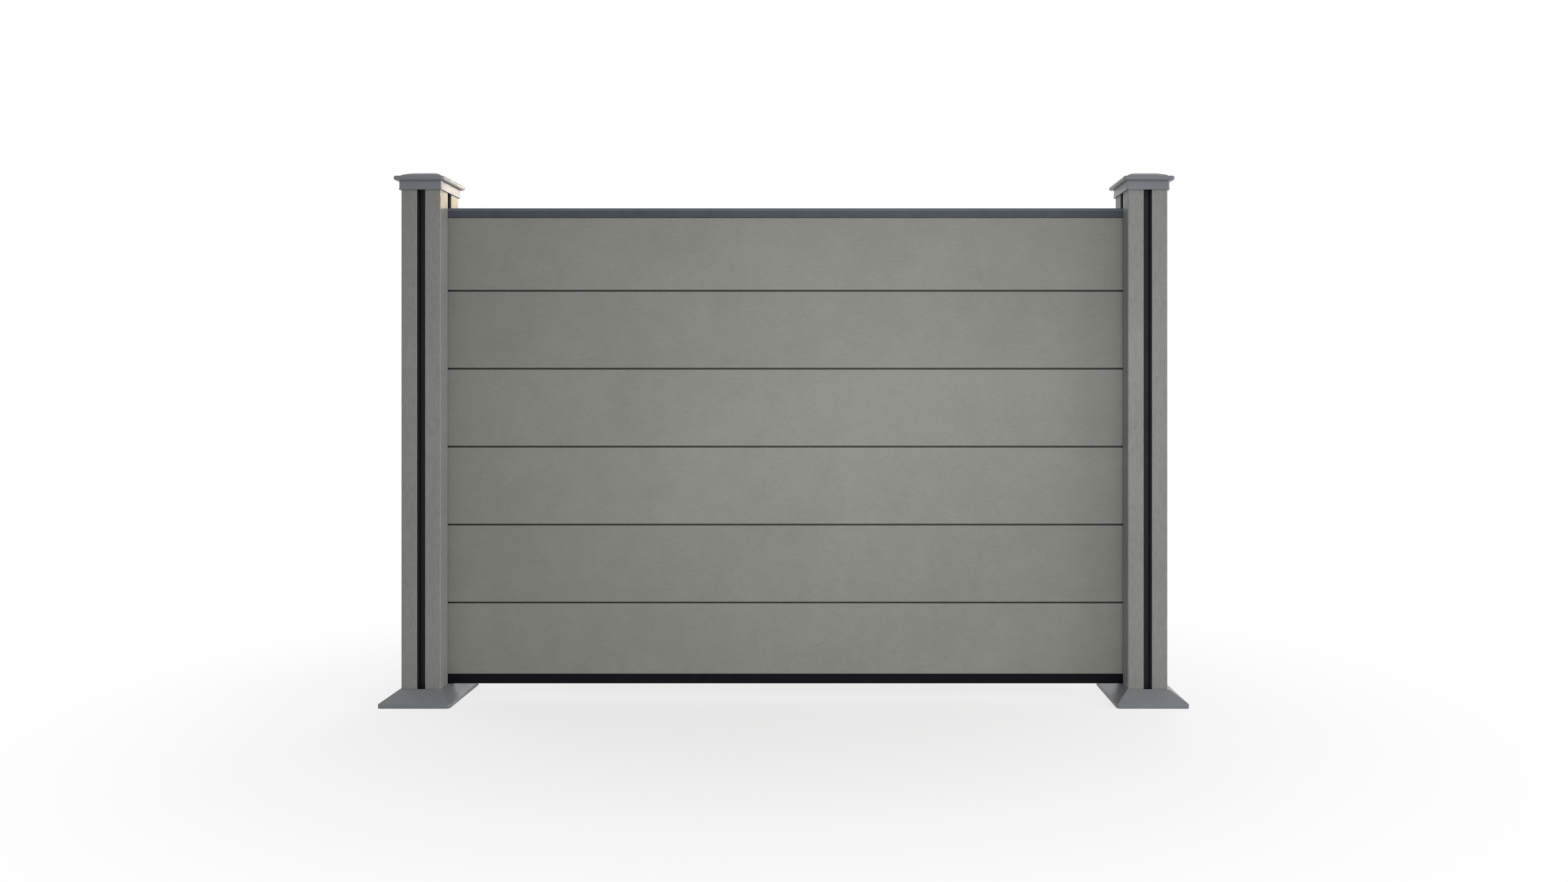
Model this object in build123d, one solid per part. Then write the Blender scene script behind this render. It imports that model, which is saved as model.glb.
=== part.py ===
from build123d import *
import os
from math import atan, cos

# Composite privacy screen: a panel of tongue-and-groove boards between two slotted posts.
# X runs along the panel, the front faces -Y, Z is up and the ground is Z = 0. Millimetres.

# Post sleeve: a hollow composite extrusion with one slot in each face
POST_SPACING = 1830.0
POST_SIDE = 100.0
POST_CORNER_R = 3.0
POST_WALL = 8.0
SLOT_WIDTH = 21.0
SLOT_DEPTH = 21.0
SLOT_WALL = 7.0
SLOT_EDGE_R = 1.0
BORE_CORNER_R = 2.0

# Steel core inside the sleeve, welded to its base plate
CORE_CLEARANCE = 2.0
CORE_WALL = 2.0
CORE_CORNER_R = 4.0
CORE_TOP_SETBACK = 6.0
PLATE_MARGIN = 25.0
PLATE_THICKNESS = 8.0
PLATE_CORNER_R = 6.0
ANCHOR_EDGE = 20.0
ANCHOR_HOLE_D = 12.0

# Channel that lines each slot
LINER_WALL = 1.5
LINER_LEG = 11.5
LINER_CLEARANCE = 0.2
LINER_TOP_SETBACK = 4.5
LINER_END_GAP = 1.0

# Panel and its boards
PANEL_HEIGHT = 1218.0
BOARD_COUNT = 6
BOARD_THICKNESS = 16.0
BOARD_GAP = 4.5
BOARD_EDGE_R = 1.2
BOARD_INSERT = 17.5
TONGUE_THICKNESS = 6.0
TONGUE_TIP_CHAMFER = 1.0
GROOVE_DEPTH = 8.0
GROOVE_CLEARANCE = 0.3
BOARD_SKIN = 4.5
CHAMBER_COUNT = 7
CHAMBER_WEB = 6.0

# Rails: one ribbed aluminium section, upright at the bottom and turned over at the top
RAIL_HEIGHT = 24.5
RAIL_HEAD = 9.0
RAIL_WALL = 2.0
RAIL_CLEARANCE = 0.2
RAIL_CORNER_R = 0.8
RAIL_BAND = 8.5
RAIL_LIFT = 0.5
FLUTE_COUNT = 3
FLUTE_WIDTH = 2.0
FLUTE_PITCH = 5.1
FLUTE_DEPTH = 1.0

# Block that carries the end of the bottom rail inside the slot
REST_CLEARANCE = 0.4
REST_SETBACK = 1.5

# Fixing screws through channel, sleeve and core, hidden by the skirt
SCREW_D = 4.8
SCREW_REACH = 5.0
SCREW_HEAD_D = 9.0
SCREW_HEAD_HEIGHT = 3.0
SCREW_CLEARANCE = 0.3
SCREW_THREAD_CLEARANCE = 0.1
SCREW_HEAD_CLEARANCE = 0.6

# Base skirt: a moulded shell with a low lip and sloping sides
SKIRT_OVERHANG = 40.0
SKIRT_HEIGHT = 35.0
SKIRT_LIP = 9.0
SKIRT_LIP_R = 3.0
SKIRT_CORNER_R = 8.0
SKIRT_RIM = 2.0
SKIRT_WALL = 3.0
SKIRT_CLEARANCE = 0.5

# Post cap: a moulded shell with a collar, a bullnosed brim and a raised top
CAP_REVEAL = 38.5
CAP_CLEARANCE = 0.5
COLLAR_WALL = 3.5
COLLAR_HEIGHT = 22.0
COLLAR_CORNER_R = 4.0
BEAD_HEIGHT = 3.0
BEAD_PROUD = 0.8
BRIM_OVERHANG = 10.5
BRIM_THICKNESS = 11.0
BRIM_FLAT = 1.0
BRIM_CORNER_R = 8.0
CROWN_INSET = 14.5
CROWN_LEDGE = 4.0
CROWN_RISE = 14.0
CROWN_STEPS = 5
CAVITY_CORNER_R = 3.0
CAP_SEAT = 9.0
CAP_SKIN = 3.0

# Heights and half sizes that several pieces share
HALF_POST = POST_SIDE / 2
SLOT_FLOOR = HALF_POST - SLOT_DEPTH
BORE_SIDE = 2 * (SLOT_FLOOR - SLOT_WALL)
CORE_SIDE = BORE_SIDE - 2 * CORE_CLEARANCE
PLATE_SIDE = POST_SIDE + 2 * PLATE_MARGIN
ANCHOR_SPACING = PLATE_SIDE - 2 * ANCHOR_EDGE
SKIRT_SIDE = POST_SIDE + 2 * SKIRT_OVERHANG
RAIL_BOTTOM = SKIRT_HEIGHT + RAIL_LIFT
BOARD_BOTTOM = RAIL_BOTTOM + RAIL_HEAD
PANEL_TOP = RAIL_BOTTOM + PANEL_HEIGHT
BOARD_PITCH = (PANEL_HEIGHT - 2 * RAIL_HEAD) / BOARD_COUNT
COLLAR_BOTTOM = PANEL_TOP + CAP_REVEAL
SLEEVE_TOP = COLLAR_BOTTOM + COLLAR_HEIGHT
PANEL_LENGTH = POST_SPACING - POST_SIDE + 2 * BOARD_INSERT
SCREW_Z = (PLATE_THICKNESS + RAIL_BOTTOM) / 2
RAIL_POCKET = BOARD_THICKNESS + 2 * RAIL_CLEARANCE
RAIL_WIDTH = RAIL_POCKET + 2 * RAIL_WALL
TONGUE_SLOT = TONGUE_THICKNESS + 2 * GROOVE_CLEARANCE
QUARTER_TURN = 90
HALF_TURN = 180
RIGHT_ANGLES = range(0, 2 * HALF_TURN, QUARTER_TURN)

BASE = (Align.CENTER, Align.MIN)


def upright(section, low, high):
    """A prism of a plan section between two heights."""
    return extrude(Pos(0, 0, low) * section, amount=high - low)


def along_panel(section):
    """A prism of a Y-Z section as long as the panel, centred between the posts."""
    return extrude(Plane.YZ * section, amount=PANEL_LENGTH / 2, both=True)


def square(side, corner_r):
    return RectangleRounded(side, side, corner_r)


def radial_hole(diameter, start, end):
    """A drill of the screw's height along +X, between two distances from the post's axis."""
    drill = Cylinder(diameter / 2, end - start, align=(Align.CENTER, Align.CENTER, Align.MIN))
    return Pos(start, 0, SCREW_Z) * Rot(0, QUARTER_TURN, 0) * drill


def around_post(solid):
    """Four copies of a solid, one for each face of the post."""
    return [Rot(0, 0, angle) * solid for angle in RIGHT_ANGLES]


def post_sleeve():
    slot = Pos(SLOT_FLOOR, 0) * Rectangle(SLOT_DEPTH, SLOT_WIDTH, align=(Align.MIN, Align.CENTER))
    section = square(POST_SIDE, POST_CORNER_R)
    section -= [Rot(0, 0, angle) * slot for angle in RIGHT_ANGLES]
    mouth = (SLOT_WIDTH / 2, HALF_POST)

    def at_mouth(vertex):
        near, far = sorted((abs(vertex.X), abs(vertex.Y)))
        return abs(near - mouth[0]) < 0.01 and abs(far - mouth[1]) < 0.01

    section = fillet(section.vertices().filter_by(at_mouth), SLOT_EDGE_R)
    inner = SLOT_WIDTH / 2 + SLOT_WALL
    chamber_side = HALF_POST - POST_WALL - inner
    centre = inner + chamber_side / 2
    chamber = Pos(centre, centre) * Rectangle(chamber_side, chamber_side)
    section -= square(BORE_SIDE, BORE_CORNER_R)
    section -= [Rot(0, 0, angle) * chamber for angle in RIGHT_ANGLES]
    hole = radial_hole(SCREW_D + 2 * SCREW_CLEARANCE, CORE_SIDE / 2, HALF_POST)
    return upright(section, PLATE_THICKNESS, SLEEVE_TOP) - around_post(hole)


def post_core():
    plate = square(PLATE_SIDE, PLATE_CORNER_R)
    plate -= GridLocations(ANCHOR_SPACING, ANCHOR_SPACING, 2, 2) * Circle(ANCHOR_HOLE_D / 2)
    tube = square(CORE_SIDE, CORE_CORNER_R)
    tube -= square(CORE_SIDE - 2 * CORE_WALL, CORE_CORNER_R - CORE_WALL)
    body = upright(plate, 0, PLATE_THICKNESS)
    body += upright(tube, PLATE_THICKNESS, SLEEVE_TOP - CORE_TOP_SETBACK)
    hole = radial_hole(SCREW_D + 2 * SCREW_THREAD_CLEARANCE, 0, BORE_SIDE / 2)
    return body - around_post(hole)


def slot_liner(low, high):
    """A U channel seated on the floor of the slot that faces +X."""
    outer_width = SLOT_WIDTH - 2 * LINER_CLEARANCE
    side = (Align.MIN, Align.CENTER)
    section = Rectangle(LINER_LEG, outer_width, align=side)
    section -= Pos(LINER_WALL, 0) * Rectangle(LINER_LEG, outer_width - 2 * LINER_WALL, align=side)
    body = upright(Pos(SLOT_FLOOR, 0) * section, low, high)
    return body - radial_hole(SCREW_D + 2 * SCREW_CLEARANCE, SLOT_FLOOR, HALF_POST)


def rail_rest():
    """A block on the base plate in the slot that faces +X, bored for the fixing screw."""
    length = SLOT_DEPTH - REST_SETBACK
    block = Rectangle(length, SLOT_WIDTH - 2 * REST_CLEARANCE, align=(Align.MIN, Align.CENTER))
    body = upright(Pos(SLOT_FLOOR, 0) * block, PLATE_THICKNESS, RAIL_BOTTOM)
    body -= radial_hole(SCREW_D + 2 * SCREW_CLEARANCE, SLOT_FLOOR, HALF_POST)
    head_d = SCREW_HEAD_D + 2 * SCREW_HEAD_CLEARANCE
    return body - radial_hole(head_d, SLOT_FLOOR + LINER_WALL, HALF_POST)


def fixing_screw():
    """A hex-head screw along +X, its head on the channel's floor and its end inside the core."""
    seat = SLOT_FLOOR + LINER_WALL
    end = CORE_SIDE / 2 - CORE_WALL - SCREW_REACH
    head = extrude(RegularPolygon(SCREW_HEAD_D / 2, 6), amount=SCREW_HEAD_HEIGHT)
    shank = Cylinder(SCREW_D / 2, seat - end, align=(Align.CENTER, Align.CENTER, Align.MIN))
    screw = Pos(0, 0, seat) * head + Pos(0, 0, end) * shank
    return Pos(0, 0, SCREW_Z) * Rot(0, QUARTER_TURN, 0) * screw


def hipped(outline):
    """A square block with hipped sides, from (half width, height) points going up."""
    points = outline + [(-half, height) for half, height in reversed(outline)]
    half_length = max(half for half, height in outline)
    ridge = extrude(Plane.XZ * Polygon(*points, align=None), amount=half_length, both=True)
    return ridge & (Rot(0, 0, QUARTER_TURN) * ridge)


def post_skirt():
    base = SKIRT_SIDE / 2
    rim = HALF_POST + SKIRT_CLEARANCE + SKIRT_RIM
    drop = SKIRT_WALL / cos(atan((SKIRT_HEIGHT - SKIRT_LIP) / (base - rim)))
    block = hipped([(base, 0), (base, SKIRT_LIP), (rim, SKIRT_HEIGHT)])
    cavity_side = SKIRT_SIDE - 2 * SKIRT_WALL
    column = upright(square(cavity_side, SKIRT_CORNER_R - SKIRT_WALL), 0, SKIRT_HEIGHT)
    cavity = (Pos(0, 0, -drop) * block) & column
    lip_edges = block.edges().filter_by_position(Axis.Z, SKIRT_LIP, SKIRT_LIP)
    body = fillet(lip_edges, SKIRT_LIP_R) & upright(square(SKIRT_SIDE, SKIRT_CORNER_R), 0, SKIRT_HEIGHT)
    opening = square(POST_SIDE + 2 * SKIRT_CLEARANCE, POST_CORNER_R + SKIRT_CLEARANCE)
    return body - cavity - upright(opening, 0, SKIRT_HEIGHT)


def cap_crown(base, base_z):
    """The raised top of the cap: a low ledge under four slopes that flatten towards the middle."""
    ledge_z = base_z + CROWN_LEDGE
    outline = [(base, base_z), (base, ledge_z)]
    for step in range(1, CROWN_STEPS):
        share = 1 - step / CROWN_STEPS
        outline.append((base * share, ledge_z + CROWN_RISE * (1 - share**2)))
    return hipped(outline)


def post_cap():
    socket_side = POST_SIDE + 2 * CAP_CLEARANCE
    collar_side = socket_side + 2 * COLLAR_WALL
    brim_side = collar_side + 2 * BRIM_OVERHANG
    brim_top = SLEEVE_TOP + BRIM_THICKNESS
    collar = upright(square(collar_side, COLLAR_CORNER_R), COLLAR_BOTTOM, SLEEVE_TOP)
    bead = square(collar_side + 2 * BEAD_PROUD, COLLAR_CORNER_R + BEAD_PROUD)
    collar += upright(bead, COLLAR_BOTTOM, COLLAR_BOTTOM + BEAD_HEIGHT)
    brim = upright(square(brim_side, BRIM_CORNER_R), SLEEVE_TOP, brim_top)
    ends = brim.faces().sort_by(Axis.Z)
    brim = fillet(ends[0].edges() + ends[-1].edges(), (BRIM_THICKNESS - BRIM_FLAT) / 2)
    crown = cap_crown(brim_side / 2 - CROWN_INSET, brim_top)
    socket = square(socket_side, POST_CORNER_R + CAP_CLEARANCE)
    cavity = square(POST_SIDE - 2 * CAP_SEAT, CAVITY_CORNER_R)
    hollow = upright(cavity, SLEEVE_TOP, brim_top)
    hollow += (Pos(0, 0, -CAP_SKIN) * crown) & upright(cavity, brim_top, brim_top + CROWN_LEDGE + CROWN_RISE)
    body = collar + brim + crown
    return body - upright(socket, COLLAR_BOTTOM, SLEEVE_TOP) - hollow


def board_section():
    face_height = BOARD_PITCH - BOARD_GAP
    body = Rectangle(BOARD_THICKNESS, face_height, align=BASE)
    body = fillet(body.vertices(), BOARD_EDGE_R)
    tongue = Rectangle(TONGUE_THICKNESS, BOARD_GAP + GROOVE_DEPTH, align=BASE)
    tongue = chamfer(tongue.vertices().group_by(Axis.Y)[-1], TONGUE_TIP_CHAMFER)
    section = body + Pos(0, face_height) * tongue
    section -= Rectangle(TONGUE_SLOT, GROOVE_DEPTH, align=BASE)
    width = BOARD_THICKNESS - 2 * BOARD_SKIN
    first = GROOVE_DEPTH + BOARD_SKIN
    room = face_height - BOARD_SKIN - first
    pitch = (room + CHAMBER_WEB) / CHAMBER_COUNT
    chamber = Rectangle(width, pitch - CHAMBER_WEB)
    middle = first + (pitch - CHAMBER_WEB) / 2
    section -= [Pos(0, middle + row * pitch) * chamber for row in range(CHAMBER_COUNT)]
    return section


def rail_section():
    """The rail with its head at the bottom: the pocket above it takes the edge of a board."""
    outline = Rectangle(RAIL_WIDTH, RAIL_HEIGHT, align=BASE)
    section = fillet(outline.vertices().group_by(Axis.Y)[0], RAIL_CORNER_R)
    section -= Pos(0, RAIL_HEAD) * Rectangle(RAIL_POCKET, RAIL_HEIGHT, align=BASE)
    section -= Pos(0, RAIL_HEAD - GROOVE_DEPTH) * Rectangle(TONGUE_SLOT, RAIL_HEIGHT, align=BASE)
    hollow_width = (RAIL_WIDTH - TONGUE_SLOT) / 2 - 2 * RAIL_WALL
    hollow = Rectangle(hollow_width, RAIL_HEAD - 2 * RAIL_WALL)
    hollow_place = (RAIL_WIDTH + TONGUE_SLOT) / 4
    flute = Rectangle(2 * FLUTE_DEPTH, FLUTE_WIDTH, align=BASE)
    edge_step = Rectangle(2 * FLUTE_DEPTH, FLUTE_WIDTH, align=(Align.CENTER, Align.MAX))
    for side in (-1, 1):
        section -= Pos(side * hollow_place, RAIL_HEAD / 2) * hollow
        face = side * RAIL_WIDTH / 2
        section -= [Pos(face, RAIL_BAND + row * FLUTE_PITCH) * flute for row in range(FLUTE_COUNT)]
        section -= Pos(face, RAIL_HEIGHT) * edge_step
    return section


def panel():
    rail = along_panel(rail_section())
    board = along_panel(board_section())
    pieces = {"bottom_rail": Pos(0, 0, RAIL_BOTTOM) * rail}
    for row in range(BOARD_COUNT):
        pieces[f"board_{row + 1}"] = Pos(0, 0, BOARD_BOTTOM + row * BOARD_PITCH) * board
    pieces["top_rail"] = Pos(0, 0, PANEL_TOP) * Rot(HALF_TURN, 0, 0) * rail
    return pieces


def post():
    """The pieces of one post on its own axis, with the slot pieces facing +X."""
    pieces = {
        "post_sleeve": post_sleeve(),
        "post_core": post_core(),
        "post_skirt": post_skirt(),
        "post_cap": post_cap(),
        "fixing_screws": Compound(around_post(fixing_screw())),
    }
    free_liner = slot_liner(PLATE_THICKNESS, COLLAR_BOTTOM - LINER_TOP_SETBACK)
    panel_liner = slot_liner(RAIL_BOTTOM + RAIL_HEIGHT, PANEL_TOP - RAIL_HEIGHT - LINER_END_GAP)
    slot_pieces = {
        "rail_rest": (rail_rest(), "inner"),
        "inner_liner": (panel_liner, "inner"),
        "outer_liner": (free_liner, "outer"),
        "front_liner": (free_liner, "front"),
        "rear_liner": (free_liner, "rear"),
    }
    return pieces, slot_pieces


def screen():
    pieces = panel()
    post_pieces, slot_pieces = post()
    for side, direction, inner in (("left", -1, 0), ("right", 1, HALF_TURN)):
        place = Pos(direction * POST_SPACING / 2, 0, 0)
        facing = {"inner": inner, "outer": inner + HALF_TURN, "front": -QUARTER_TURN, "rear": QUARTER_TURN}
        for name, solid in post_pieces.items():
            pieces[f"{side}_{name}"] = place * solid
        for name, (solid, slot) in slot_pieces.items():
            pieces[f"{side}_{name}"] = place * Rot(0, 0, facing[slot]) * solid
    return pieces


os.makedirs("parts", exist_ok=True)
for node, solid in screen().items():
    export_step(solid, f"parts/{node}.step")
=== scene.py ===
import math

import bpy
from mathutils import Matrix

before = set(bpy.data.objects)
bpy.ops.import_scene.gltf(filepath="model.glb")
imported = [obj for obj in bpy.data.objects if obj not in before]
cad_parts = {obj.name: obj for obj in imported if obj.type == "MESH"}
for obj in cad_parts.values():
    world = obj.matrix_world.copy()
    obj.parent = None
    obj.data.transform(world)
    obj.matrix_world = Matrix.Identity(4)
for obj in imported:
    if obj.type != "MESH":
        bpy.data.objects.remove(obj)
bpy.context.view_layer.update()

# The photograph's camera: level, in front of the screen and a little right of its middle
CAMERA_PLACE = (0.138, -2.235, 0.79)
LENS = 19.93
SENSOR_WIDTH = 36
SHIFT = (-0.0352, -0.0331)

# Heights and faces that the materials follow, in metres
BOARD_PITCH = 0.2
BOARD_BOTTOM = 0.0445
TONGUE_FACE = 0.003
POST_AXIS = 0.915
POST_FACE = 0.05
RAIL_FACE = 0.0102

# Where the painted shade on a board tongue, in a post slot or on a flute floor begins and ends,
# measured from its face, in metres
TONGUE_SHADE_SPAN = (0.0005, 0.002)
SLOT_SHADE_SPAN = (-0.004, -0.0015)
FLUTE_FLOOR = (-0.0008, -0.0002)

# Colours as 0 to 255 screen values: painted shade in the recesses between the finished faces, and
# what lies on them
# Painted shade: a dark grey for the board tongues in the gaps and the insides of the post slots
RECESS_PAINTED_SHADE = (46, 46, 46)
PALE_FIBRE = (176, 176, 168)
RUBBED_COMPOSITE = (165, 164, 156)
RUBBED_MOULDING = (168, 171, 174)
RUBBED_ZINC = (205, 205, 203)
# Painted shade in the floors of the rails' flutes
FLUTE_SHADE = (16, 18, 26)
DUSTY_COMPOSITE = (172, 166, 152)
DUSTY_COAT = (140, 137, 130)
DUSTY_MOULDING = (165, 161, 150)

# Rounded edges of the mouldings, in metres
CAP_EDGE = 0.0008
SKIRT_EDGE = 0.0012
WELD_REACH = 0.00001
SHARP_ANGLE = math.radians(25)

# Stage and light
WHITE = (1, 1, 1, 1)
FLOOR_RADIUS = 40
FLOOR_CORNERS = 96
FLOOR_GREY = (0.9, 0.9, 0.9, 1)
FLOOR_REACH = (0.62, 1.0, 0.0)
FLOOR_FADE = (0.2, 1.25)
WHITE_NEAR_SCREEN = 0.62
EVEN_LIGHT = 0.34
PLAIN_LIGHT = (1.0, 1.0, 1.0)
SIDE_LIGHT = (1.0, 0.97, 0.93)
WARM_LIGHT = (1.0, 0.7, 0.36)


def linear(red, green, blue):
    """A colour written as 0 to 255 screen values, as the scene's linear colour."""
    def channel(value):
        value /= 255
        return value / 12.92 if value <= 0.04045 else ((value + 0.055) / 1.055) ** 2.4
    return (channel(red), channel(green), channel(blue), 1)


class Graph:
    """Short calls to add nodes to one node tree."""

    def __init__(self, tree):
        self.tree = tree

    def add(self, kind, inputs=None, **settings):
        node = self.tree.nodes.new(kind)
        for name, value in settings.items():
            setattr(node, name, value)
        for name, value in (inputs or {}).items():
            self.put(node.inputs[name], value)
        return node

    def put(self, socket, value):
        if isinstance(value, bpy.types.NodeSocket):
            self.tree.links.new(value, socket)
        else:
            socket.default_value = value

    def math(self, operation, first, second=0.0, clamp=False):
        inputs = {0: first, 1: second}
        return self.add("ShaderNodeMath", inputs, operation=operation, use_clamp=clamp).outputs[0]

    def vector(self, operation, first, second):
        inputs = {0: first, 1: second}
        return self.add("ShaderNodeVectorMath", inputs, operation=operation).outputs[0]

    def dot(self, first, second):
        node = self.add("ShaderNodeVectorMath", {0: first, 1: second}, operation="DOT_PRODUCT")
        return node.outputs["Value"]

    def split(self, vector):
        return self.add("ShaderNodeSeparateXYZ", {0: vector}).outputs

    def noise(self, vector, scale, detail, roughness=0.5):
        inputs = {"Vector": vector, "Scale": scale, "Detail": detail, "Roughness": roughness}
        return self.add("ShaderNodeTexNoise", inputs).outputs["Fac"]

    def ramp(self, value, low, high, to_low=0.0, to_high=1.0):
        inputs = {"Value": value, "From Min": low, "From Max": high,
                  "To Min": to_low, "To Max": to_high}
        return self.add("ShaderNodeMapRange", inputs).outputs["Result"]

    def both_ways(self, share):
        """A share from 0 to 1, spread out to run from -1 to 1."""
        return self.ramp(share, 0.0, 1.0, -1.0, 1.0)

    def mix(self, factor, first, second):
        node = self.add("ShaderNodeMix", data_type="RGBA", blend_type="MIX")
        self.put(node.inputs["Factor"], factor)
        self.put(node.inputs[6], first)
        self.put(node.inputs[7], second)
        return node.outputs[2]

    def group(self, shared, **inputs):
        node = self.add("ShaderNodeGroup", node_tree=shared)
        for name, value in inputs.items():
            self.put(node.inputs[name.replace("_", " ")], value)
        return node.outputs

    def seen(self):
        """1 for what the camera sees, by itself or in a reflection."""
        path = self.add("ShaderNodeLightPath").outputs
        mirrored = self.math("MAXIMUM", path["Is Glossy Ray"], path["Is Transmission Ray"])
        return self.math("MAXIMUM", path["Is Camera Ray"], mirrored)


FLOAT = "NodeSocketFloat"
VECTOR = "NodeSocketVector"


def shared_group(name, inputs, outputs):
    """An empty shader node group with named sockets, and the nodes at its two ends."""
    tree = bpy.data.node_groups.new(name, "ShaderNodeTree")
    for title, kind in inputs:
        tree.interface.new_socket(title, in_out="INPUT", socket_type=kind)
    for title in outputs:
        tree.interface.new_socket(title, in_out="OUTPUT", socket_type=FLOAT)
    graph = Graph(tree)
    return graph, graph.add("NodeGroupInput").outputs, graph.add("NodeGroupOutput").inputs


def streaked_grain():
    """Short fibres drawn out along one axis: the brushed or embossed face of the composite."""
    graph, given, out = shared_group(
        "Streaked grain", [("Vector", VECTOR), ("Stretch", VECTOR)], ["Streak", "Dash", "Height"])
    drawn = graph.vector("MULTIPLY", given["Vector"], given["Stretch"])
    wander = graph.noise(given["Vector"], scale=14.0, detail=1.0)
    drawn = graph.vector("ADD", drawn, graph.vector("MULTIPLY", wander, (0.6, 0.6, 0.6)))
    streak = graph.noise(drawn, scale=1.0, detail=3.0, roughness=0.65)
    shorter = graph.vector("MULTIPLY", drawn, (1.9, 0.8, 1.9))
    dash = graph.noise(shorter, scale=0.8, detail=1.0, roughness=0.4)
    dash = graph.ramp(dash, 0.56, 0.72)
    graph.put(out["Streak"], graph.ramp(streak, 0.25, 0.75))
    graph.put(out["Dash"], dash)
    graph.put(out["Height"], graph.math("ADD", streak, graph.math("MULTIPLY", dash, 0.35)))
    return graph.tree


def mottle():
    """Broad, soft change of tone, from -1 to 1."""
    graph, given, out = shared_group("Mottle", [("Vector", VECTOR), ("Scale", FLOAT)], ["Value"])
    broad = graph.noise(given["Vector"], given["Scale"], detail=3.0, roughness=0.55)
    graph.put(out["Value"], graph.ramp(broad, 0.28, 0.72, -1.0, 1.0))
    return graph.tree


def speckle():
    """Fine moulded or powder-coat grain."""
    graph, given, out = shared_group(
        "Speckle", [("Vector", VECTOR), ("Scale", FLOAT)], ["Value", "Height"])
    fine = graph.noise(given["Vector"], given["Scale"], detail=2.0, roughness=0.6)
    graph.put(out["Value"], graph.ramp(fine, 0.3, 0.7))
    graph.put(out["Height"], fine)
    return graph.tree


def edge_wear():
    """Mask of the sharp edges, broken up by noise."""
    graph, given, out = shared_group(
        "Edge wear", [("Vector", VECTOR), ("Radius", FLOAT), ("Breakup", FLOAT)], ["Mask"])
    rounded = graph.add("ShaderNodeBevel", {"Radius": given["Radius"]}, samples=4).outputs[0]
    flat = graph.add("ShaderNodeNewGeometry").outputs["Normal"]
    bend = graph.ramp(graph.dot(rounded, flat), 0.98, 0.75)
    broken = graph.noise(given["Vector"], given["Breakup"], detail=3.0, roughness=0.6)
    broken = graph.ramp(broken, 0.35, 0.6)
    graph.put(out["Mask"], graph.math("MULTIPLY", bend, broken, clamp=True))
    return graph.tree


def settled_dust():
    """Mask of the dust on faces that look up and of the splash near the ground."""
    graph, given, out = shared_group(
        "Settled dust", [("Vector", VECTOR), ("Splash height", FLOAT)], ["Mask"])
    normal = graph.add("ShaderNodeNewGeometry").outputs["Normal"]
    up = graph.ramp(graph.split(normal)["Z"], 0.35, 1.0)
    height = graph.split(given["Vector"])["Z"]
    low = graph.ramp(graph.math("DIVIDE", height, given["Splash height"]), 1.0, 0.0)
    patch = graph.noise(given["Vector"], scale=38.0, detail=4.0, roughness=0.6)
    patch = graph.ramp(patch, 0.35, 0.7)
    splash = graph.math("MULTIPLY", low, low)
    both = graph.math("MAXIMUM", graph.math("MULTIPLY", up, 0.8), splash)
    graph.put(out["Mask"], graph.math("MULTIPLY", both, patch, clamp=True))
    return graph.tree


GRAIN = streaked_grain()
MOTTLE = mottle()
SPECKLE = speckle()
WEAR = edge_wear()
DUST = settled_dust()


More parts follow.
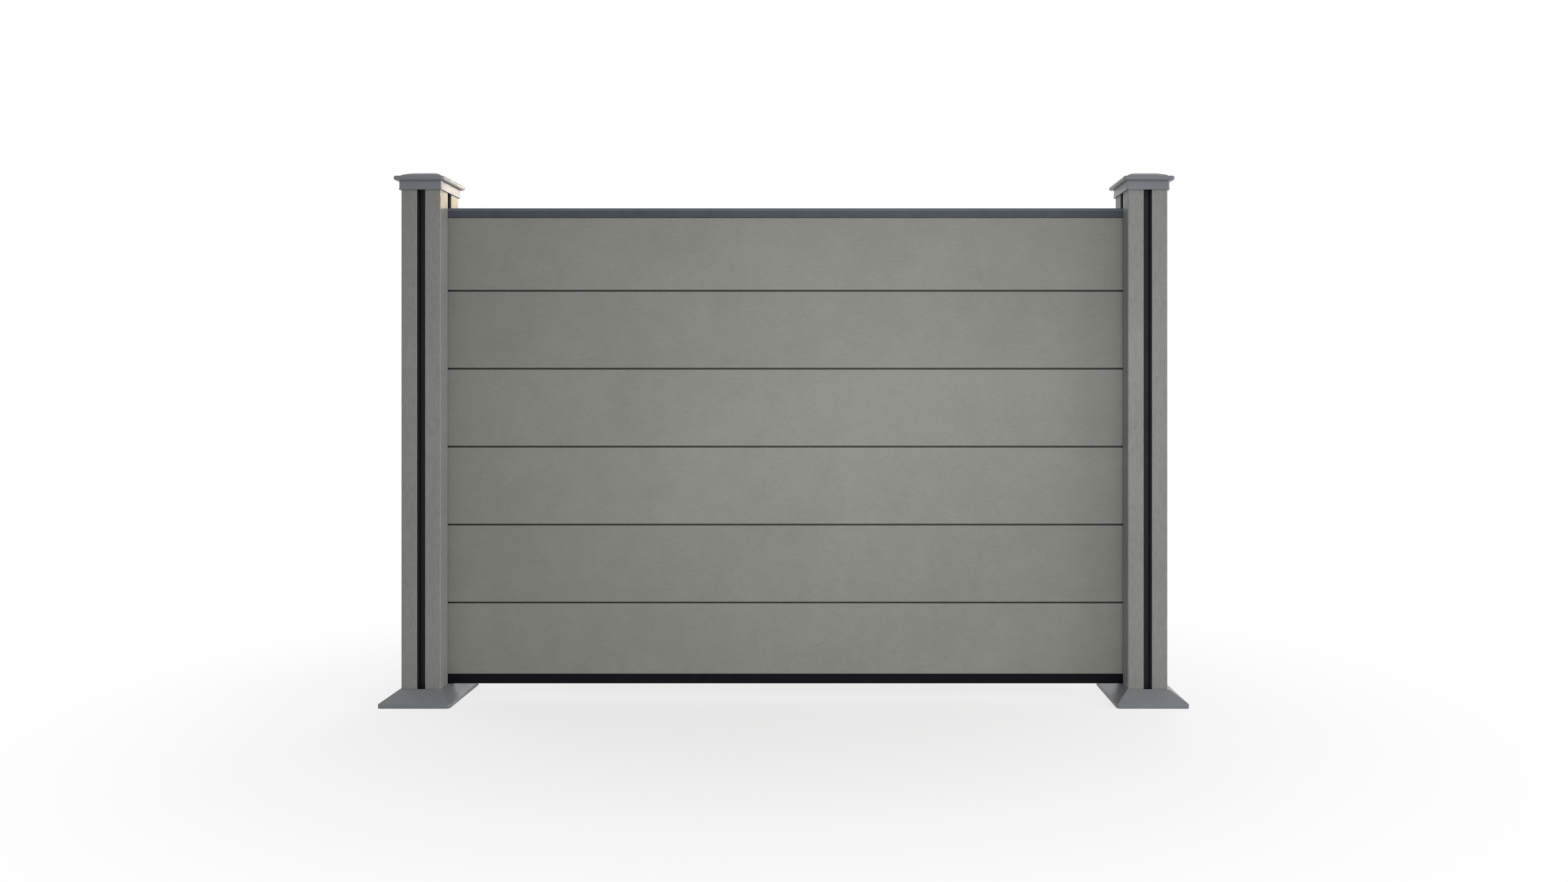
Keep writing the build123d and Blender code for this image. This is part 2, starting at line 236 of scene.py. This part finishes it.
class Finish(Graph):
    """One material: a Principled shader, the row's own coordinates and its shared effects."""

    def __init__(self, name, **constants):
        self.material = bpy.data.materials.new(name)
        self.material.use_nodes = True
        super().__init__(self.material.node_tree)
        self.shader = self.tree.nodes["Principled BSDF"]
        self.place = self.add("ShaderNodeTexCoord").outputs["Object"]
        for socket, value in constants.items():
            self.shader.inputs[socket.replace("_", " ")].default_value = value

    def grain(self, stretch):
        return self.group(GRAIN, Vector=self.place, Stretch=stretch)

    def mottle(self, scale):
        return self.group(MOTTLE, Vector=self.place, Scale=scale)["Value"]

    def speckle(self, scale):
        return self.group(SPECKLE, Vector=self.place, Scale=scale)

    def wear(self, radius, breakup):
        return self.group(WEAR, Vector=self.place, Radius=radius, Breakup=breakup)["Mask"]

    def dust(self, splash_height):
        return self.group(DUST, Vector=self.place, Splash_height=splash_height)["Mask"]

    def tone(self, colour, value, amount):
        """The colour made lighter and darker by a value from -1 to 1."""
        gain = self.math("ADD", self.math("MULTIPLY", value, amount), 1.0)
        level = self.add("ShaderNodeCombineXYZ", {0: gain, 1: gain, 2: gain}).outputs[0]
        return self.vector("MULTIPLY", colour, level)

    def cover(self, colour, mask, amount, coat):
        """The colour with a coat of another laid over it where the mask is."""
        return self.mix(self.math("MULTIPLY", mask, amount), colour, linear(*coat))

    def tongue_painted_shade(self):
        """Mask of a board's tongue in the gap above it, where shade is painted dark."""
        depth = self.math("ABSOLUTE", self.split(self.place)["Y"])
        start, end = TONGUE_SHADE_SPAN
        return self.ramp(depth, TONGUE_FACE + start, TONGUE_FACE + end, 1.0, 0.0)

    def slot_painted_shade(self):
        """Mask of the inside of a post's slots, where shade is painted dark."""
        place = self.split(self.place)
        depth = self.math("ABSOLUTE", place["Y"])
        across = self.math("SUBTRACT", self.math("ABSOLUTE", place["X"]), POST_AXIS)
        outward = self.math("MAXIMUM", depth, self.math("ABSOLUTE", across))
        start, end = SLOT_SHADE_SPAN
        return self.ramp(outward, POST_FACE + start, POST_FACE + end, 1.0, 0.0)

    def flute_painted_shade(self, strength):
        """Mask of the floors of a rail's flutes, where shade is painted dark."""
        depth = self.math("ABSOLUTE", self.split(self.place)["Y"])
        start, end = FLUTE_FLOOR
        return self.ramp(depth, RAIL_FACE + start, RAIL_FACE + end, strength, 0.0)

    def board_pick(self):
        """One value from -1 to 1 for each board of the panel."""
        height = self.math("SUBTRACT", self.split(self.place)["Z"], BOARD_BOTTOM)
        row = self.math("FLOOR", self.math("DIVIDE", height, BOARD_PITCH))
        pick = self.add("ShaderNodeTexWhiteNoise", {"W": row}, noise_dimensions="1D")
        return self.both_ways(pick.outputs["Value"])

    def surface(self, colour, roughness, height, strength, distance):
        relief = {"Height": height, "Strength": strength, "Distance": distance}
        bump = self.add("ShaderNodeBump", relief)
        self.put(self.shader.inputs["Base Color"], colour)
        self.put(self.shader.inputs["Roughness"], roughness)
        self.put(self.shader.inputs["Normal"], bump.outputs["Normal"])
        return self.material


def composite(name, body, stretch, streak_gain, dash_gain, relief, boards):
    """Wood-plastic composite with fibres along the piece; no two boards are quite alike."""
    made = Finish(name, Specular_IOR_Level=0.3)
    grain = made.grain(stretch)
    wear = made.wear(radius=0.002, breakup=60.0)
    dust = made.dust(splash_height=0.16)
    colour = made.tone(linear(*body)[:3], made.both_ways(grain["Streak"]), streak_gain)
    colour = made.tone(colour, made.mottle(scale=3.2), 0.05)
    colour = made.tone(colour, made.mottle(scale=16.0), 0.035)
    if boards:
        colour = made.tone(colour, made.board_pick(), 0.03)
    # Painted shade: the tongues in the gaps and the insides of the post slots get a dark grey
    recess_shade = made.tongue_painted_shade() if boards else made.slot_painted_shade()
    colour = made.mix(recess_shade, colour, linear(*RECESS_PAINTED_SHADE))
    colour = made.cover(colour, grain["Dash"], dash_gain, PALE_FIBRE)
    colour = made.cover(colour, wear, 0.3, RUBBED_COMPOSITE)
    colour = made.cover(colour, dust, 0.16, DUSTY_COMPOSITE)
    roughness = made.ramp(grain["Streak"], 0.0, 1.0, 0.62, 0.5)
    return made.surface(colour, roughness, grain["Height"], relief, 0.001)


def powder_coat(name, body, worn, rough, dusty, shine, fluted=False):
    """Powder-coated aluminium: fine orange peel, rubbed edges, a little dust, and painted shade
    in the flute floors when fluted.
    """
    made = Finish(name, Specular_IOR_Level=shine)
    grain = made.speckle(scale=900.0)
    wear = made.wear(radius=0.0008, breakup=45.0)
    dust = made.dust(splash_height=0.09)
    colour = made.tone(linear(*body)[:3], made.mottle(scale=9.0), 0.08)
    colour = made.tone(colour, made.both_ways(grain["Value"]), 0.06)
    # Painted shade: the floors of the flutes are darkened towards FLUTE_SHADE
    if fluted:
        colour = made.mix(made.flute_painted_shade(strength=0.85), colour, linear(*FLUTE_SHADE))
    colour = made.cover(colour, wear, 0.45, worn)
    colour = made.cover(colour, dust, dusty, DUSTY_COAT)
    roughness = made.ramp(grain["Value"], 0.0, 1.0, rough - 0.06, rough + 0.06)
    return made.surface(colour, roughness, grain["Height"], 0.15, 0.0004)


def moulding(name, body, rough):
    """Satin moulded plastic with a fine spark-eroded skin."""
    made = Finish(name, Specular_IOR_Level=0.5)
    grain = made.speckle(scale=1300.0)
    cloud = made.mottle(scale=11.0)
    wear = made.wear(radius=0.0015, breakup=55.0)
    dust = made.dust(splash_height=0.03)
    colour = made.tone(linear(*body)[:3], cloud, 0.045)
    colour = made.tone(colour, made.both_ways(grain["Value"]), 0.025)
    colour = made.cover(colour, wear, 0.3, RUBBED_MOULDING)
    colour = made.cover(colour, dust, 0.14, DUSTY_MOULDING)
    smear = made.math("MULTIPLY", cloud, 0.05)
    roughness = made.math("ADD", smear, made.ramp(dust, 0.0, 1.0, rough, rough + 0.2))
    return made.surface(colour, roughness, grain["Height"], 0.12, 0.0004)


def plated_steel(name, body, spangle, rough):
    """Zinc-plated steel with a crystal spangle."""
    made = Finish(name, Metallic=1.0)
    cells = made.add("ShaderNodeTexVoronoi", {"Vector": made.place, "Scale": spangle})
    crystal = made.add("ShaderNodeSeparateColor", {0: cells.outputs["Color"]}).outputs[0]
    grain = made.speckle(scale=700.0)
    wear = made.wear(radius=0.001, breakup=70.0)
    colour = made.tone(linear(*body)[:3], made.both_ways(crystal), 0.12)
    colour = made.cover(colour, wear, 0.4, RUBBED_ZINC)
    roughness = made.ramp(crystal, 0.0, 1.0, rough - 0.08, rough + 0.08)
    return made.surface(colour, roughness, grain["Height"], 0.1, 0.0004)


BOARD = composite("Board composite", body=(134, 134, 129), stretch=(95, 600, 640),
                  streak_gain=0.085, dash_gain=0.08, relief=0.35, boards=True)
POST = composite("Post composite", body=(136, 137, 135), stretch=(480, 480, 52),
                 streak_gain=0.15, dash_gain=0.1, relief=0.5, boards=False)
CHARCOAL = powder_coat("Charcoal powder coat", body=(91, 97, 107), worn=(124, 128, 136),
                       rough=0.45, dusty=0.12, shine=0.15, fluted=True)
# The bottom rail's coat is darker than the top rail's, partly as its own black colour and partly
# as painted shade low near the ground
BLACK_COAT_AND_SHADE = powder_coat("Black powder coat and painted shade", body=(11, 12, 17), worn=(38, 40, 48),
                    rough=0.6, dusty=0.03, shine=0.08, fluted=True)
CHANNEL = powder_coat("Channel powder coat", body=(37, 39, 46), worn=(84, 86, 94),
                      rough=0.5, dusty=0.1, shine=0.2)
PLASTIC = moulding("Satin grey moulding", body=(118, 123, 129), rough=0.4)
REST = moulding("Black moulding", body=(40, 40, 42), rough=0.5)
GALVANISED = plated_steel("Galvanised steel", body=(176, 178, 180), spangle=160.0, rough=0.42)
ZINC = plated_steel("Zinc plate", body=(188, 188, 184), spangle=600.0, rough=0.32)

# The finish of each piece, by a word in its name
FINISHES = {
    "board": BOARD,
    "top_rail": CHARCOAL,
    "bottom_rail": BLACK_COAT_AND_SHADE,
    "post_sleeve": POST,
    "liner": CHANNEL,
    "post_cap": PLASTIC,
    "post_skirt": PLASTIC,
    "post_core": GALVANISED,
    "fixing_screws": ZINC,
    "rail_rest": REST,
}

for name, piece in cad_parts.items():
    piece.data.materials.clear()
    piece.data.materials.append(next(FINISHES[word] for word in FINISHES if word in name))


def soften(piece, width):
    """Rounds the sharp edges of a moulding; the weld joins the faces that meet there."""
    weld = piece.modifiers.new("Joined faces", "WELD")
    weld.merge_threshold = WELD_REACH
    bevel = piece.modifiers.new("Moulded edge", "BEVEL")
    bevel.width = width
    bevel.segments = 2
    bevel.limit_method = "ANGLE"
    bevel.angle_limit = SHARP_ANGLE
    bevel.harden_normals = True


for side in ("left", "right"):
    soften(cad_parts[f"{side}_post_cap"], CAP_EDGE)
    soften(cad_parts[f"{side}_post_skirt"], SKIRT_EDGE)


def pale_floor():
    """A pale floor that keeps the shadow and turns to plain white away from the screen."""
    material = bpy.data.materials.new("Pale floor")
    material.use_nodes = True
    graph = Graph(material.node_tree)
    graph.tree.nodes.remove(graph.tree.nodes["Principled BSDF"])
    place = graph.add("ShaderNodeTexCoord").outputs["Object"]
    place = graph.vector("MULTIPLY", place, FLOOR_REACH)
    reach = graph.add("ShaderNodeVectorMath", {0: place}, operation="LENGTH").outputs["Value"]
    start, end = FLOOR_FADE
    fade = {"Value": reach, "From Min": start, "From Max": end}
    far = graph.add("ShaderNodeMapRange", fade, interpolation_type="SMOOTHSTEP").outputs["Result"]
    matte = graph.add("ShaderNodeBsdfDiffuse", {"Color": FLOOR_GREY}).outputs[0]
    white = graph.add("ShaderNodeEmission", {"Color": WHITE, "Strength": 1.0}).outputs[0]
    share = graph.ramp(far, 0.0, 1.0, WHITE_NEAR_SCREEN, 1.0)
    share = graph.math("MULTIPLY", share, graph.seen())
    blend = graph.add("ShaderNodeMixShader", {0: share, 1: matte, 2: white})
    graph.put(graph.tree.nodes["Material Output"].inputs["Surface"], blend.outputs[0])
    return material


bpy.ops.mesh.primitive_circle_add(
    vertices=FLOOR_CORNERS, radius=FLOOR_RADIUS, fill_type="NGON", location=(0, 0, 0))
floor = bpy.context.object
floor.name = "Pale floor"
floor.data.materials.append(pale_floor())

# World: even white light; white where the camera or a reflection sees it
world = bpy.data.worlds.new("White studio")
world.use_nodes = True
bpy.context.scene.world = world
sky = Graph(world.node_tree)
sky.tree.nodes.clear()
even = sky.add("ShaderNodeBackground", {"Color": WHITE, "Strength": EVEN_LIGHT}).outputs[0]
plain = sky.add("ShaderNodeBackground", {"Color": WHITE, "Strength": 1.0}).outputs[0]
shade = sky.add("ShaderNodeMixShader", {0: sky.seen(), 1: even, 2: plain}).outputs[0]
sky.put(sky.add("ShaderNodeOutputWorld").inputs["Surface"], shade)


def lamp(name, place, target, size, watts, colour, spread=180):
    """A soft rectangular lamp that looks at a target; spread is the beam's angle in degrees."""
    data = bpy.data.lights.new(name, "AREA")
    data.shape = "RECTANGLE"
    data.size, data.size_y = size
    data.energy = watts
    data.color = colour
    data.spread = math.radians(spread)
    light = bpy.data.objects.new(name, data)
    light.location = place
    aim = [to - at for to, at in zip(target, place)]
    reach = math.hypot(aim[0], aim[1])
    light.rotation_euler = (math.atan2(reach, -aim[2]), 0, math.atan2(-aim[0], aim[1]))
    bpy.context.scene.collection.objects.link(light)


lamp("Front key", place=(0.6, -3.0, 0.95), target=(0.08, 0, 0.68),
     size=(1.0, 0.8), watts=4.6, colour=PLAIN_LIGHT, spread=58)
lamp("High front light", place=(1.0, -4.0, 3.6), target=(0, 0, 0.8),
     size=(2.6, 1.6), watts=19, colour=PLAIN_LIGHT)
lamp("Right side light", place=(5.4, -0.9, 1.7), target=(-0.6, 0, 0.7),
     size=(2.2, 2.8), watts=145, colour=SIDE_LIGHT)
lamp("Warm rear light", place=(3.4, 1.6, 1.72), target=(-0.88, 0, 1.39),
     size=(0.36, 0.36), watts=1.1, colour=WARM_LIGHT, spread=8)
lamp("Left side fill", place=(-4.6, 1.6, 1.7), target=(-0.9, 0, 0.7),
     size=(2.2, 2.4), watts=44, colour=PLAIN_LIGHT)
lamp("Rear fill light", place=(1.5, 4.4, 2.4), target=(0, 0, 0.6),
     size=(3.0, 2.0), watts=85, colour=PLAIN_LIGHT)

camera_data = bpy.data.cameras.new("Photograph view")
camera_data.lens = LENS
camera_data.sensor_width = SENSOR_WIDTH
camera_data.shift_x, camera_data.shift_y = SHIFT
camera = bpy.data.objects.new("Photograph view", camera_data)
camera.location = CAMERA_PLACE
camera.rotation_euler = (math.radians(90), 0, 0)
bpy.context.scene.collection.objects.link(camera)
bpy.context.scene.camera = camera
bpy.context.scene.view_settings.view_transform = "Standard"
